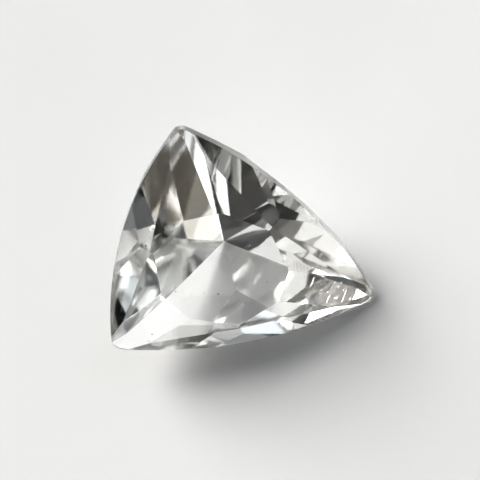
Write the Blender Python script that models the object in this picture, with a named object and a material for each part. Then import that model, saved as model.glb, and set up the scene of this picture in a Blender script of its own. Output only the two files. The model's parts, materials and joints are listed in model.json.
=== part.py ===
"""A clear faceted zircon, cut as a rounded triangle brilliant and lying on one of its pavilion facets.

The stone is made the way a cutter makes it. A round preform is trimmed by one plane for each facet, tier by
tier. While it is cut, the stone stands on its own axis: the girdle lies level, the table faces up and the
culet points down. At the end it is tipped over until one of the six large pavilion facets lies flat on
the ground, the way a loose stone rests.
"""

import math

import bmesh
import bpy
from mathutils import Vector

# The girdle, the widest part of the stone, in metres
SIDE = 0.0104  # one side of the triangle, before its corners are rounded
BOW = 0.085 * SIDE  # how far the middle of each side bows outwards
CORNER_RADIUS = 0.04 * SIDE  # radius of each rounded corner
GIRDLE_HEIGHT = 0.024 * SIDE  # height of the plain band
FLATS_PER_SIDE = 24  # upright flats that make up a bowed side
FLATS_PER_CORNER = 7  # upright flats that make up a rounded corner

# Tiers of the pavilion, the pointed underside: slope from the girdle plane and turn from a side's middle
PAVILION_MAIN_SLOPE = math.radians(37.0)  # the six large facets, two under each side, that meet at the culet
PAVILION_MAIN_TURN = math.radians(18.5)
UNDERSIDE_SLOPE = math.radians(45.5)  # one facet under the middle of each side
UNDERCORNER_SLOPE = math.radians(33.0)  # one small facet under each corner
LOWER_BREAK_SLOPE = math.radians(65.5)  # two narrow facets along the middle of each side's girdle
LOWER_BREAK_TURN = math.radians(4.0)

# Tiers of the crown, above the girdle
TABLE_HEIGHT = 0.088 * SIDE  # from the middle of the girdle up to the table
CROWN_CORNER_SLOPE = math.radians(13.0)
CROWN_SIDE_SLOPE = math.radians(36.0)
UPPER_BREAK_SLOPE = math.radians(28.0)
UPPER_BREAK_TURN = math.radians(11.0)
STAR_SLOPE = math.radians(16.5)
STAR_TURN = math.radians(22.5)
STAR_REACH = 0.23 * SIDE  # from the axis to where a star facet meets the table's level

STONE_NAME = "zircon"
COLLECTION_NAME = "faceted_zircon"
SIDE_TURNS = tuple(math.radians(angle) for angle in (30, 150, 270))
CORNER_TURNS = tuple(math.radians(angle) for angle in (90, 210, 330))
HALF_GIRDLE = 0.5 * GIRDLE_HEIGHT
SIXTH = math.radians(60.0)
REST_TURN = SIDE_TURNS[2] + PAVILION_MAIN_TURN  # the stone lies on the pavilion main that faces this turn

# The bowed sides are arcs of this radius, and their normals turn this far to either side of the middle
SIDE_BEND = (0.25 * SIDE**2 + BOW**2) / (2.0 * BOW)
SIDE_SPREAD = math.asin(0.5 * SIDE / SIDE_BEND)
CORNER_SPREAD = SIXTH - SIDE_SPREAD
SIDE_CENTRE = SIDE_BEND - BOW - 0.5 * SIDE / math.sqrt(3.0)
CORNER_CENTRE = SIDE / math.sqrt(3.0) - CORNER_RADIUS / math.cos(CORNER_SPREAD)

SNAP = 1e-9  # points nearer to a cutting plane than this count as on it
MERGE = 1e-7  # points nearer to each other than this become one


def clear_scene():
    """Remove every object, so that the script starts from nothing."""
    for obj in list(bpy.data.objects):
        bpy.data.objects.remove(obj, do_unlink=True)


def crystal_material():
    """Colourless see-through crystal with zircon's high refractive index."""
    material = bpy.data.materials.new("clear_zircon")
    material.use_nodes = True
    shader = material.node_tree.nodes["Principled BSDF"]
    shader.inputs["Base Color"].default_value = (0.97, 0.97, 0.95, 1.0)
    shader.inputs["Roughness"].default_value = 0.0
    shader.inputs["Metallic"].default_value = 0.0
    shader.inputs["IOR"].default_value = 1.95
    shader.inputs["Transmission Weight"].default_value = 1.0
    return material


def girdle_reach(turn):
    """Distance from the axis to the upright plane that faces a turn and touches the girdle outline."""
    off_side = (turn - SIDE_TURNS[0] + SIXTH) % (2.0 * SIXTH) - SIXTH
    if abs(off_side) <= SIDE_SPREAD:
        return SIDE_BEND - SIDE_CENTRE * math.cos(off_side)
    off_corner = SIXTH - abs(off_side)
    return CORNER_RADIUS + CORNER_CENTRE * math.cos(off_corner)


def cut(stone, normal, distance):
    """Grind one facet: take off all that lies beyond a plane and close the opening with one flat face."""
    whole = stone.verts[:] + stone.edges[:] + stone.faces[:]
    found = bmesh.ops.bisect_plane(
        stone, geom=whole, dist=SNAP, plane_co=normal * distance, plane_no=normal, clear_outer=True
    )
    rim = [part for part in found["geom_cut"] if isinstance(part, bmesh.types.BMEdge) and part.is_boundary]
    if rim:
        bmesh.ops.edgeloop_fill(stone, edges=rim)


def facing(slope, turn, up):
    """Outward normal of a facet with a slope from the girdle plane, on the crown or on the pavilion."""
    flat = math.sin(slope)
    return Vector((flat * math.cos(turn), flat * math.sin(turn), math.cos(slope) * (1.0 if up else -1.0)))


def cut_tier(stone, slope, turns, up):
    """Grind one facet at each turn, so deep that it just touches the edge of the girdle band."""
    for turn in turns:
        normal = facing(slope, turn, up)
        distance = math.sin(slope) * girdle_reach(turn) + math.cos(slope) * HALF_GIRDLE
        cut(stone, normal, distance)


def either_side(offset):
    """The turns at an offset to both sides of every side's middle."""
    return [middle + sign * offset for middle in SIDE_TURNS for sign in (-1.0, 1.0)]


def cut_girdle(stone):
    """Grind the upright flats that follow the bowed sides and the rounded corners."""
    spans = ((SIDE_TURNS, SIDE_SPREAD, FLATS_PER_SIDE), (CORNER_TURNS, CORNER_SPREAD, FLATS_PER_CORNER))
    for middles, spread, count in spans:
        for middle in middles:
            for step in range(count):
                turn = middle + spread * ((2.0 * step + 1.0) / count - 1.0)
                cut(stone, facing(math.radians(90.0), turn, True), girdle_reach(turn))


def cut_pavilion(stone):
    """Grind the underside: six mains that meet at the culet, then the facets along the girdle."""
    cut_tier(stone, PAVILION_MAIN_SLOPE, either_side(PAVILION_MAIN_TURN), False)
    cut_tier(stone, UNDERSIDE_SLOPE, SIDE_TURNS, False)
    cut_tier(stone, UNDERCORNER_SLOPE, CORNER_TURNS, False)
    cut_tier(stone, LOWER_BREAK_SLOPE, either_side(LOWER_BREAK_TURN), False)


def cut_crown(stone):
    """Grind the table, the crown mains, the breaks above the girdle and the stars round the table."""
    cut(stone, Vector((0.0, 0.0, 1.0)), TABLE_HEIGHT)
    cut_tier(stone, CROWN_CORNER_SLOPE, CORNER_TURNS, True)
    cut_tier(stone, CROWN_SIDE_SLOPE, SIDE_TURNS, True)
    cut_tier(stone, UPPER_BREAK_SLOPE, either_side(UPPER_BREAK_TURN), True)
    for turn in either_side(STAR_TURN):
        distance = math.sin(STAR_SLOPE) * STAR_REACH + math.cos(STAR_SLOPE) * TABLE_HEIGHT
        cut(stone, facing(STAR_SLOPE, turn, True), distance)


def lay_down(stone):
    """Tip the stone onto its resting facet and stand the middle of its box on the origin."""
    underside = facing(PAVILION_MAIN_SLOPE, REST_TURN, False)
    tip = underside.rotation_difference(Vector((0.0, 0.0, -1.0))).to_matrix()
    bmesh.ops.rotate(stone, verts=stone.verts[:], cent=(0.0, 0.0, 0.0), matrix=tip)
    low = Vector(min(vert.co[axis] for vert in stone.verts) for axis in range(3))
    high = Vector(max(vert.co[axis] for vert in stone.verts) for axis in range(3))
    middle = 0.5 * (low + high)
    bmesh.ops.translate(stone, verts=stone.verts[:], vec=(-middle.x, -middle.y, -low.z))


def make_zircon():
    """Cut the whole stone and return it as one object."""
    stone = bmesh.new()
    bmesh.ops.create_cone(stone, cap_ends=True, segments=32, radius1=SIDE, radius2=SIDE, depth=SIDE)
    cut_girdle(stone)
    cut_pavilion(stone)
    cut_crown(stone)
    lay_down(stone)
    bmesh.ops.remove_doubles(stone, verts=stone.verts[:], dist=MERGE)
    bmesh.ops.recalc_face_normals(stone, faces=stone.faces[:])
    mesh = bpy.data.meshes.new(STONE_NAME)
    stone.to_mesh(mesh)
    stone.free()
    mesh.materials.append(crystal_material())
    return bpy.data.objects.new(STONE_NAME, mesh)


def main():
    clear_scene()
    collection = bpy.data.collections.new(COLLECTION_NAME)
    bpy.context.scene.collection.children.link(collection)
    collection.objects.link(make_zircon())


main()
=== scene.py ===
"""A clear faceted zircon on a pale ground: its finish, the soft studio light and the camera.

The stone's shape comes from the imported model. This script dresses it as clear crystal with polished
facets, worn facet edges and a finely ground girdle, and adds the ground, the light and the camera.
"""

import json
import logging
import math
from dataclasses import dataclass
from enum import Enum

import bmesh
import bpy
import numpy as np
from mathutils import Matrix, Vector


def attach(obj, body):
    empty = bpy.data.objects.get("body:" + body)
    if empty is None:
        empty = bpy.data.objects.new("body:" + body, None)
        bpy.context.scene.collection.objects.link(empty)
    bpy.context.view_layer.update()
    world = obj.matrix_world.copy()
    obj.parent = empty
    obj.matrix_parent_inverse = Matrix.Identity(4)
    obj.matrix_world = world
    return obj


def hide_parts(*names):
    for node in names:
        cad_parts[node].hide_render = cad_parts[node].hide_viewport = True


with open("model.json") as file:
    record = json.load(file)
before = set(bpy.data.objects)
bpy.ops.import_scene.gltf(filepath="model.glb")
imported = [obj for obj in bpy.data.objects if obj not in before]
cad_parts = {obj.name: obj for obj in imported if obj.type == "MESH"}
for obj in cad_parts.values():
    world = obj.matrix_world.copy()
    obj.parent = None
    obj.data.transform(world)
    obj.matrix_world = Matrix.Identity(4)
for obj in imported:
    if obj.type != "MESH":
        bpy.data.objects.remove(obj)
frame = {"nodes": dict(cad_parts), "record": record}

LOG = logging.getLogger("zircon_scene")

MILLIMETRE = 0.001

# The stone's size, and the slope and turn of the pavilion facet that it lies on
SIDE_LENGTH = 0.0104
TABLE_HEIGHT = 0.088 * SIDE_LENGTH
REST_SLOPE = math.radians(37.0)
REST_TURN = math.radians(288.5)

ZIRCON_IOR = 1.95

# Sockets of Blender's Mix node when it mixes colours
MIX_FACTOR = 0
MIX_FIRST = 6
MIX_SECOND = 7
MIX_RESULT = 2

Span = tuple[float, float]
Triple = tuple[float, float, float]
Colour = Triple
Rgba = tuple[float, float, float, float]
Operand = float | bpy.types.NodeSocket
Entry = Operand | Triple | Rgba | Vector

UNTURNED: Triple = (0.0, 0.0, 0.0)

# Colours of the light in the room
WINDOW_WHITE: Colour = (1.0, 0.985, 0.955)
COOL_WHITE: Colour = (0.93, 0.97, 1.0)
PLAIN_WHITE: Colour = (0.97, 0.99, 1.0)
WARM_WHITE: Colour = (1.0, 0.97, 0.90)
PALE_AMBER: Colour = (1.0, 0.93, 0.80)
PALE_SKY: Colour = (0.90, 0.96, 1.0)
PANEL_BLUE: Colour = (0.88, 0.95, 1.0)


class Body(Enum):
    """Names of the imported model's bodies."""

    ROOT = "root"


class Node(Enum):
    """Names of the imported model's nodes."""

    ZIRCON = "zircon"


class Slot(Enum):
    """Names of the record's material slots."""

    CLEAR_CRYSTAL = "clear_crystal"


def rgba(colour: Colour) -> Rgba:
    """The colour with full alpha."""
    return (*colour, 1.0)


def cube(size: float) -> Triple:
    """A cell as long along every axis."""
    return (size, size, size)


def direction(azimuth: float, elevation: float) -> Vector:
    """Unit vector towards a point of the sky.

    Args:
        azimuth: Degrees round the upright axis, 0 along +X and 90 along +Y.
        elevation: Degrees above the ground.

    Returns:
        The vector (cos a cos e, sin a cos e, sin e).
    """
    turn = math.radians(azimuth)
    rise = math.radians(elevation)
    return Vector((math.cos(turn) * math.cos(rise), math.sin(turn) * math.cos(rise), math.sin(rise)))


def lay() -> Matrix:
    """Rotation that carries the stone from upright to how it lies.

    Returns:
        The shortest turn that points the resting facet's outward normal straight down.
    """
    flat = math.sin(REST_SLOPE)
    outward = Vector((flat * math.cos(REST_TURN), flat * math.sin(REST_TURN), -math.cos(REST_SLOPE)))
    return outward.rotation_difference(Vector((0.0, 0.0, -1.0))).to_matrix()


def stone_axis() -> Vector:
    """The stone's own axis as it lies, out through its table facet."""
    return lay() @ Vector((0.0, 0.0, 1.0))


def girdle_middle() -> Vector:
    """The middle of the stone's girdle, from the table facet's height over it.

    Returns:
        The point that lies TABLE_HEIGHT below the table facet's mount, along the stone's axis.
    """
    mounts = {mount["name"]: mount for mount in frame["record"]["mounts"]}
    return Vector(mounts["table"]["pos_m"]) - stone_axis() * TABLE_HEIGHT


class Graph:
    """A shader node tree, with short calls to add and join nodes."""

    def __init__(self, tree: bpy.types.NodeTree, output: str) -> None:
        """Empty the tree and give it its output node.

        Args:
            tree: The node tree to fill.
            output: Blender's name of the output node's type.
        """
        self.tree = tree
        self.tree.nodes.clear()
        self.output = self.node(output)

    def node(
        self,
        kind: str,
        settings: dict[str, str] | None = None,
        inputs: dict[int | str, Entry] | None = None,
    ) -> bpy.types.Node:
        """Add one node.

        Args:
            kind: Blender's name of the node type.
            settings: Node properties to set.
            inputs: Socket name or index to either a constant or an output socket to link.

        Returns:
            The new node.
        """
        made = self.tree.nodes.new(kind)
        for key, value in (settings or {}).items():
            setattr(made, key, value)
        for key, value in (inputs or {}).items():
            socket = made.inputs[key]
            if isinstance(value, bpy.types.NodeSocket):
                self.tree.links.new(value, socket)
            else:
                socket.default_value = value
        return made

    def join(self, source: bpy.types.NodeSocket, name: str) -> None:
        """Link a socket to one of the output node's inputs."""
        self.tree.links.new(source, self.output.inputs[name])

    def ramp(self, value: Operand, source: Span, result: Span = (0.0, 1.0)) -> bpy.types.NodeSocket:
        """A value carried smoothly from one range to another.

        Args:
            value: The socket that drives it.
            source: The inputs at which the ramp starts and ends.
            result: The outputs there.

        Returns:
            The result socket.
        """
        made = self.node(
            "ShaderNodeMapRange",
            {"interpolation_type": "SMOOTHSTEP"},
            {
                "Value": value,
                "From Min": source[0],
                "From Max": source[1],
                "To Min": result[0],
                "To Max": result[1],
            },
        )
        return made.outputs["Result"]

    def maths(self, operation: str, first: Operand, second: Operand) -> bpy.types.NodeSocket:
        """One arithmetic step on two sockets or numbers; returns the result socket."""
        made = self.node("ShaderNodeMath", {"operation": operation}, {0: first, 1: second})
        return made.outputs["Value"]

    def vectors(self, operation: str, inputs: dict[int | str, Entry]) -> bpy.types.Node:
        """One step of vector arithmetic; returns the node."""
        return self.node("ShaderNodeVectorMath", {"operation": operation}, inputs)

    def blend(self, factor: Operand, first: Entry, second: Entry) -> bpy.types.NodeSocket:
        """The colour that mixes first and second by factor; returns the result socket."""
        inputs = {MIX_FACTOR: factor, MIX_FIRST: first, MIX_SECOND: second}
        return self.node("ShaderNodeMix", {"data_type": "RGBA"}, inputs).outputs[MIX_RESULT]


class Shader(Graph):
    """A material's node tree."""

    def __init__(self, name: str) -> None:
        """Start an empty material.

        Args:
            name: The material's name.
        """
        self.material = bpy.data.materials.new(name)
        self.material.use_nodes = True
        super().__init__(self.material.node_tree, "ShaderNodeOutputMaterial")

    def cells(self, size: Triple, turn: Triple = UNTURNED) -> bpy.types.NodeSocket:
        """Object coordinates, counted in cells.

        Args:
            size: A cell's length along each axis, in metres.
            turn: Euler angles of the cells, in radians.

        Returns:
            The output socket of the mapped coordinates.
        """
        where = self.node("ShaderNodeTexCoord").outputs["Object"]
        inputs = {"Vector": where, "Rotation": turn, "Scale": size}
        return self.node("ShaderNodeMapping", {"vector_type": "TEXTURE"}, inputs).outputs["Vector"]

    def noise(
        self, size: Triple, detail: float, roughness: float = 0.5, turn: Triple = UNTURNED
    ) -> bpy.types.NodeSocket:
        """Smooth noise.

        Args:
            size: Length of its cells along each axis, in metres.
            detail: Number of finer layers.
            roughness: Strength of each finer layer against the one before.
            turn: Euler angles of the cells, in radians.

        Returns:
            The socket of its value, from 0 to 1.
        """
        where = self.cells(size, turn)
        inputs = {"Vector": where, "Scale": 1.0, "Detail": detail, "Roughness": roughness}
        return self.node("ShaderNodeTexNoise", inputs=inputs).outputs["Fac"]

    def bump(self, height: Operand, depth: float) -> bpy.types.NodeSocket:
        """Normals of a surface that rises by depth metres where height goes from 0 to 1."""
        inputs = {"Height": height, "Strength": 1.0, "Distance": depth}
        return self.node("ShaderNodeBump", inputs=inputs).outputs["Normal"]

    def surface(self, inputs: dict[int | str, Entry]) -> None:
        """Add the surface shader with these inputs and join it to the output."""
        self.join(self.node("ShaderNodeBsdfPrincipled", inputs=inputs).outputs["BSDF"], "Surface")


@dataclass(frozen=True)
class CrystalFinish:
    """Clear zircon with polished facets.

    The colour is what is lost inside the stone, as absorption. The surface adds polishing lines that run
    one way, a few longer scratches and sparse dark specks. Turns are Euler angles in radians. A scratch
    fades in as its noise goes through scratch_range, and scratch_depth counts in line depths. A speck
    fades in as the distance to its cell's point goes through speck_edge, counted in cells, and only the
    cells whose random value lies above speck_choice have one.
    """

    name: str = "clear_zircon"
    tint: Colour = (1.0, 1.0, 1.0)
    roughness: float = 0.012
    worn_roughness: float = 0.25
    absorption_colour: Colour = (0.985, 0.985, 0.965)
    absorption_density: float = 60.0
    line_pitch: float = 0.05 * MILLIMETRE
    line_length: float = 3.0 * MILLIMETRE
    line_depth: float = 0.0005 * MILLIMETRE
    line_turn: Triple = (0.3, 0.2, 0.35)
    line_detail: float = 3.0
    line_grain: float = 0.6
    scratch_pitch: float = 0.125 * MILLIMETRE
    scratch_length: float = 6.0 * MILLIMETRE
    scratch_depth: float = 0.8
    scratch_turn: Triple = (0.1, -0.4, -0.5)
    scratch_detail: float = 2.0
    scratch_range: Span = (0.66, 0.74)
    speck_spacing: float = 0.5 * MILLIMETRE
    speck_edge: Span = (0.1, 0.06)
    speck_choice: Span = (0.8, 0.82)
    speck_colour: Colour = (0.12, 0.10, 0.08)

    def material(self) -> bpy.types.Material:
        """The crystal's material."""
        shader = Shader(self.name)
        line_cell = (self.line_pitch, self.line_length, self.line_pitch)
        lines = shader.noise(line_cell, self.line_detail, self.line_grain, self.line_turn)
        scratched = self.scratches(shader)
        speck = self.specks(shader)
        height = shader.maths("SUBTRACT", lines, shader.maths("MULTIPLY", scratched, self.scratch_depth))
        worn = shader.maths("ADD", scratched, speck)
        shader.surface(
            {
                "Base Color": shader.blend(speck, rgba(self.tint), rgba(self.speck_colour)),
                "Roughness": shader.ramp(worn, (0.0, 1.0), (self.roughness, self.worn_roughness)),
                "IOR": ZIRCON_IOR,
                "Transmission Weight": 1.0,
                "Normal": shader.bump(height, self.line_depth),
            }
        )
        inside = shader.node(
            "ShaderNodeVolumeAbsorption",
            inputs={"Color": rgba(self.absorption_colour), "Density": self.absorption_density},
        )
        shader.join(inside.outputs["Volume"], "Volume")
        return shader.material

    def scratches(self, shader: Shader) -> bpy.types.NodeSocket:
        """Where the longer scratches are: a socket that is 1 on a scratch and 0 elsewhere."""
        cell = (self.scratch_pitch, self.scratch_length, self.scratch_pitch)
        noise = shader.noise(cell, self.scratch_detail, turn=self.scratch_turn)
        return shader.ramp(noise, self.scratch_range)

    def specks(self, shader: Shader) -> bpy.types.NodeSocket:
        """Where the specks are: a socket that is 1 on a speck and 0 elsewhere."""
        where = shader.cells(cube(self.speck_spacing))
        cells = shader.node("ShaderNodeTexVoronoi", {"feature": "F1"}, {"Vector": where, "Scale": 1.0})
        parts = shader.node("ShaderNodeSeparateColor", inputs={"Color": cells.outputs["Color"]})
        near = shader.ramp(cells.outputs["Distance"], self.speck_edge)
        return shader.maths("MULTIPLY", near, shader.ramp(parts.outputs["Red"], self.speck_choice))


@dataclass(frozen=True)
class GroundGirdleFinish:
    """The girdle band, left with the fine grain of the lap instead of a polish.

    Its roughness goes through its own range where the grain goes through grain_range.
    """

    name: str = "ground_girdle"
    tint: Colour = (0.93, 0.93, 0.92)
    roughness: Span = (0.32, 0.416)
    grain_size: float = 0.03 * MILLIMETRE
    grain_depth: float = 0.004 * MILLIMETRE
    grain_detail: float = 3.0
    grain_range: Span = (0.3, 0.7)

    def material(self) -> bpy.types.Material:
        """The girdle's material."""
        shader = Shader(self.name)
        grain = shader.noise(cube(self.grain_size), self.grain_detail)
        shader.surface(
            {
                "Base Color": rgba(self.tint),
                "Roughness": shader.ramp(grain, self.grain_range, self.roughness),
                "IOR": ZIRCON_IOR,
                "Transmission Weight": 1.0,
                "Normal": shader.bump(grain, self.grain_depth),
            }
        )
        return shader.material


@dataclass(frozen=True)
class GroundFinish:
    """The pale ground, matt and even, with a faint mottle: a share of its colour up and down."""

    name: str = "pale_ground"
    colour: Colour = (0.86, 0.866, 0.874)
    roughness: float = 0.8
    gloss: float = 0.2
    mottle: float = 0.02
    mottle_size: float = 6.0 * MILLIMETRE
    mottle_detail: float = 2.0

    def material(self) -> bpy.types.Material:
        """The ground's material."""
        shader = Shader(self.name)
        noise = shader.noise(cube(self.mottle_size), self.mottle_detail)
        darker = tuple(part * (1.0 - self.mottle) for part in self.colour)
        lighter = tuple(part * (1.0 + self.mottle) for part in self.colour)
        shader.surface(
            {
                "Base Color": shader.blend(noise, rgba(darker), rgba(lighter)),
                "Roughness": self.roughness,
                "Specular IOR Level": self.gloss,
            }
        )
        return shader.material


@dataclass(frozen=True)
class CutStone:
    """The zircon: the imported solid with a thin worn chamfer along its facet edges.

    Triangles that meet within flat_angle belong to one facet. Edges sharper than sharp_angle are worn by
    wear metres. A face belongs to the girdle band when its normal rises less than band_rise towards the
    stone's axis.
    """

    facets: CrystalFinish = CrystalFinish()
    girdle: GroundGirdleFinish = GroundGirdleFinish()
    merge: float = 0.001 * MILLIMETRE
    flat_angle: float = math.radians(0.2)
    sharp_angle: float = math.radians(7.0)
    wear: float = 0.012 * MILLIMETRE
    band_rise: float = 0.02

    def build(self) -> bpy.types.Object:
        """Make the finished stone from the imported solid.

        Returns:
            The stone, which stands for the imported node.
        """
        mesh = bpy.data.meshes.new("cut_stone")
        self.shape(mesh)
        self.dress(mesh)
        stone = bpy.data.objects.new("cut_stone", mesh)
        bpy.context.scene.collection.objects.link(stone)
        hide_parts(Node.ZIRCON.value)
        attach(stone, Body.ROOT.value)
        return stone

    def shape(self, mesh: bpy.types.Mesh) -> None:
        """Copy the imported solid, join its triangles into facets and chamfer their edges.

        Args:
            mesh: The empty mesh that takes the result.
        """
        shape = bmesh.new()
        shape.from_mesh(frame["nodes"][Node.ZIRCON.value].data)
        bmesh.ops.remove_doubles(shape, verts=shape.verts[:], dist=self.merge)
        bmesh.ops.dissolve_limit(
            shape,
            angle_limit=self.flat_angle,
            verts=shape.verts[:],
            edges=shape.edges[:],
            use_dissolve_boundaries=False,
        )
        bmesh.ops.recalc_face_normals(shape, faces=shape.faces[:])
        bmesh.ops.bevel(
            shape,
            geom=[edge for edge in shape.edges if edge.calc_face_angle(0.0) > self.sharp_angle],
            offset=self.wear,
            offset_type="OFFSET",
            segments=1,
            profile=0.5,
            affect="EDGES",
            clamp_overlap=True,
        )
        shape.to_mesh(mesh)
        shape.free()

    def dress(self, mesh: bpy.types.Mesh) -> None:
        """Give the facets the first material and the girdle band the second.

        Args:
            mesh: The stone's mesh.
        """
        mesh.materials.append(self.facets.material())
        mesh.materials.append(self.girdle.material())
        count = len(mesh.polygons)
        normals = np.empty(3 * count)
        mesh.polygons.foreach_get("normal", normals)
        rise = np.abs(normals.reshape(count, 3) @ np.array(stone_axis()))
        mesh.polygons.foreach_set("material_index", (rise < self.band_rise).astype(np.int32))
        mesh.polygons.foreach_set("use_smooth", np.zeros(count, dtype=bool))
        mesh.update()


@dataclass(frozen=True)
class PaleGround:
    """The ground that the stone lies on, a hair below it so that the two flat faces don't coincide."""

    half_width: float = 0.12
    cells: int = 24
    level: float = -0.01 * MILLIMETRE
    finish: GroundFinish = GroundFinish()

    def build(self) -> bpy.types.Object:
        """A flat square grid.

        The surface is (x, y, level) for x and y from minus to plus the half width.

        Returns:
            The ground.
        """
        row = self.cells + 1
        steps = np.linspace(-self.half_width, self.half_width, row)
        x, y = np.meshgrid(steps, steps, indexing="xy")
        points = np.stack((x, y, np.full_like(x, self.level)), axis=-1).reshape(-1, 3)
        corner = (np.arange(self.cells)[:, None] * row + np.arange(self.cells)).reshape(-1)
        quads = np.stack((corner, corner + 1, corner + row + 1, corner + row), axis=-1)
        mesh = bpy.data.meshes.new("pale_ground")
        mesh.from_pydata(points.tolist(), [], quads.tolist())
        mesh.materials.append(self.finish.material())
        ground = bpy.data.objects.new("pale_ground", mesh)
        bpy.context.scene.collection.objects.link(ground)
        return ground


@dataclass(frozen=True)
class Softbox:
    """One soft light: an even panel that faces the stone.

    azimuth and elevation are in degrees, and width, height and distance in metres. brightness is the
    panel's radiance.
    """

    name: str
    azimuth: float
    elevation: float
    width: float
    height: float
    distance: float
    brightness: float
    colour: Colour

    def place(self) -> bpy.types.Object:
        """Add the panel light and turn it to the stone; its power is pi times its area and radiance."""
        lamp = bpy.data.lights.new(self.name, "AREA")
        lamp.shape = "RECTANGLE"
        lamp.size = self.width
        lamp.size_y = self.height
        lamp.energy = math.pi * self.width * self.height * self.brightness
        lamp.color = self.colour
        panel = bpy.data.objects.new(self.name, lamp)
        towards = direction(self.azimuth, self.elevation)
        panel.location = towards * self.distance
        panel.rotation_mode = "QUATERNION"
        panel.rotation_quaternion = towards.to_track_quat("Z", "Y")
        bpy.context.scene.collection.objects.link(panel)
        return panel


@dataclass(frozen=True)
class Glow:
    """A patch of soft light on the studio's walls, even in its core and fading out round it.

    All angles are in degrees: azimuth and elevation of the middle, the core's half width, and the width of
    the edge that fades. brightness is the core's radiance.
    """

    name: str
    azimuth: float
    elevation: float
    core: float
    edge: float
    brightness: float
    colour: Colour

    def light(self, graph: Graph, towards: bpy.types.NodeSocket) -> bpy.types.NodeSocket:
        """Add the nodes of this patch.

        Args:
            graph: The world's node tree.
            towards: The direction that light comes from.

        Returns:
            The patch's light as a colour: its brightness times a smooth step of the angle from its middle.
        """
        middle = direction(self.azimuth, self.elevation)
        nearness = graph.vectors("DOT_PRODUCT", {0: towards, 1: middle}).outputs["Value"]
        inner = math.cos(math.radians(self.core))
        outer = math.cos(math.radians(self.core + self.edge))
        strength = graph.ramp(nearness, (outer, inner), (0.0, self.brightness))
        return graph.vectors("SCALE", {0: self.colour, "Scale": strength}).outputs["Vector"]


@dataclass(frozen=True)
class SoftStudio:
    """The room's faint fill, its glowing walls and its soft panels.

    Names go by the picture, whose lower edge is the front. The windows are the main light, the low strips
    light the facets that mirror the room's edge, and the two walls keep dark facets from going black. A
    glow's numbers are azimuth, elevation, core, edge and brightness. A panel's are azimuth, elevation,
    width, height, distance and brightness.
    """

    fill: Colour = (0.008, 0.008, 0.008)
    glows: tuple[Glow, ...] = (
        Glow("upper_window", 112.0, 39.0, 2.0, 19.0, 8.6, WINDOW_WHITE),
        Glow("lower_window", 129.0, 28.0, 4.0, 22.0, 7.8, WINDOW_WHITE),
        Glow("left_strip", 180.0, 4.0, 4.0, 16.0, 2.7, COOL_WHITE),
        Glow("front_strip", 256.0, 4.0, 6.0, 22.0, 2.0, PLAIN_WHITE),
        Glow("right_strip", 313.0, 5.0, 18.0, 16.0, 0.95, WARM_WHITE),
        Glow("front_wall", 306.0, 38.0, 12.0, 14.0, 0.14, PALE_AMBER),
        Glow("back_wall", 36.0, 37.0, 12.0, 35.0, 0.22, PALE_SKY),
    )
    panels: tuple[Softbox, ...] = (Softbox("side_panel", 40.0, 40.0, 0.22, 0.18, 0.4, 0.85, PANEL_BLUE),)

    def build(self) -> None:
        """Light the room and place every panel."""
        world = bpy.data.worlds.new("soft_room")
        world.use_nodes = True
        graph = Graph(world.node_tree, "ShaderNodeOutputWorld")
        towards = graph.node("ShaderNodeTexCoord").outputs["Generated"]
        total = graph.node("ShaderNodeCombineXYZ", inputs=dict(zip("XYZ", self.fill))).outputs["Vector"]
        for glow in self.glows:
            total = graph.vectors("ADD", {0: total, 1: glow.light(graph, towards)}).outputs["Vector"]
            LOG.info("lit %s", glow.name)
        backdrop = graph.node("ShaderNodeBackground", inputs={"Color": total, "Strength": 1.0})
        graph.join(backdrop.outputs["Background"], "Surface")
        bpy.context.scene.world = world
        for panel in self.panels:
            panel.place()
            LOG.info("placed %s", panel.name)


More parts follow.
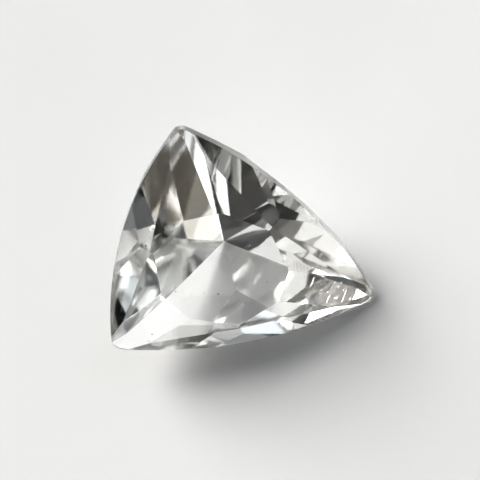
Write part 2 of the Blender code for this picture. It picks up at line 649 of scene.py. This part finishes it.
@dataclass(frozen=True)
class StoneCamera:
    """The camera, given in the stone's own frame and carried to where the stone lies.

    tilt and turn say where the camera stands over the stone's table facet, and reach how far from the
    girdle's middle. roll is how the stone's axis lies in the picture, clockwise from up, and spot the
    pixel that the girdle's middle falls on. scale is the number of pixels that SIDE_LENGTH takes up there,
    in a picture frame_size pixels wide. sensor is the film's width in millimetres. near and far bound what
    the camera sees, counted in reaches.
    """

    tilt: float = math.radians(33.9)
    turn: float = math.radians(69.0)
    roll: float = math.radians(186.4)
    spot: tuple[float, float] = (222.1, 256.7)
    reach: float = 14.0 * SIDE_LENGTH
    scale: float = 276.4
    frame_size: float = 480.0
    sensor: float = 36.0
    near: float = 0.1
    far: float = 20.0

    def build(self, middle: Vector) -> bpy.types.Object:
        """Make the camera and aim it.

        Args:
            middle: The middle of the stone's girdle, as it lies.

        Returns:
            The camera, set as the scene's.
        """
        flat = math.sin(self.tilt)
        back = lay() @ Vector((flat * math.cos(self.turn), flat * math.sin(self.turn), math.cos(self.tilt)))
        focal = self.scale * self.reach / SIDE_LENGTH
        lens = bpy.data.cameras.new("photo_camera")
        lens.sensor_width = self.sensor
        lens.lens = focal / self.frame_size * self.sensor
        lens.clip_start = self.near * self.reach
        lens.clip_end = self.far * self.reach
        camera = bpy.data.objects.new("photo_camera", lens)
        camera.matrix_world = Matrix.Translation(middle + back * self.reach) @ self.aimed(back, focal)
        bpy.context.scene.collection.objects.link(camera)
        bpy.context.scene.camera = camera
        LOG.info("camera stands %.1f degrees above the ground", math.degrees(math.asin(back.z)))
        return camera

    def aimed(self, back: Vector, focal: float) -> Matrix:
        """Rotation of a camera that sees the girdle's middle at its spot.

        Args:
            back: Unit vector from the girdle's middle to the camera.
            focal: Focal length in pixels.

        Returns:
            The rotation, whose columns are the picture's right, its up and the way out of it.
        """
        axis = stone_axis()
        shown = (axis - axis.dot(back) * back).normalized()
        up = math.cos(self.roll) * shown - math.sin(self.roll) * shown.cross(back)
        right = up.cross(back)
        half = 0.5 * self.frame_size
        aim = -back + right * ((half - self.spot[0]) / focal) + up * ((self.spot[1] - half) / focal)
        aim.normalize()
        right = aim.cross(up).normalized()
        up = right.cross(aim)
        return Matrix((right, up, -aim)).transposed().to_4x4()


@dataclass(frozen=True)
class Picture:
    """A crisp, plain picture, and light paths long enough for a many-faceted stone."""

    transform: str = "Standard"
    look: str = "High Contrast"
    exposure: float = -0.32
    bounces: int = 24
    glossy_bounces: int = 16

    def apply(self) -> None:
        """Set the scene's colours and light paths."""
        scene = bpy.context.scene
        scene.view_settings.view_transform = self.transform
        scene.view_settings.look = self.look
        scene.view_settings.exposure = self.exposure
        scene.cycles.max_bounces = self.bounces
        scene.cycles.glossy_bounces = self.glossy_bounces
        scene.cycles.transmission_bounces = self.bounces


def main() -> None:
    """Build the stone, the ground, the light and the camera."""
    logging.basicConfig(level=logging.INFO, format="%(message)s")
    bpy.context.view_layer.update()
    stone = CutStone().build()
    LOG.info("%s: %d faces", stone.name, len(stone.data.polygons))
    ground = PaleGround().build()
    LOG.info("%s: %d faces", ground.name, len(ground.data.polygons))
    SoftStudio().build()
    StoneCamera().build(girdle_middle())
    Picture().apply()


if __name__ == "__main__":
    main()
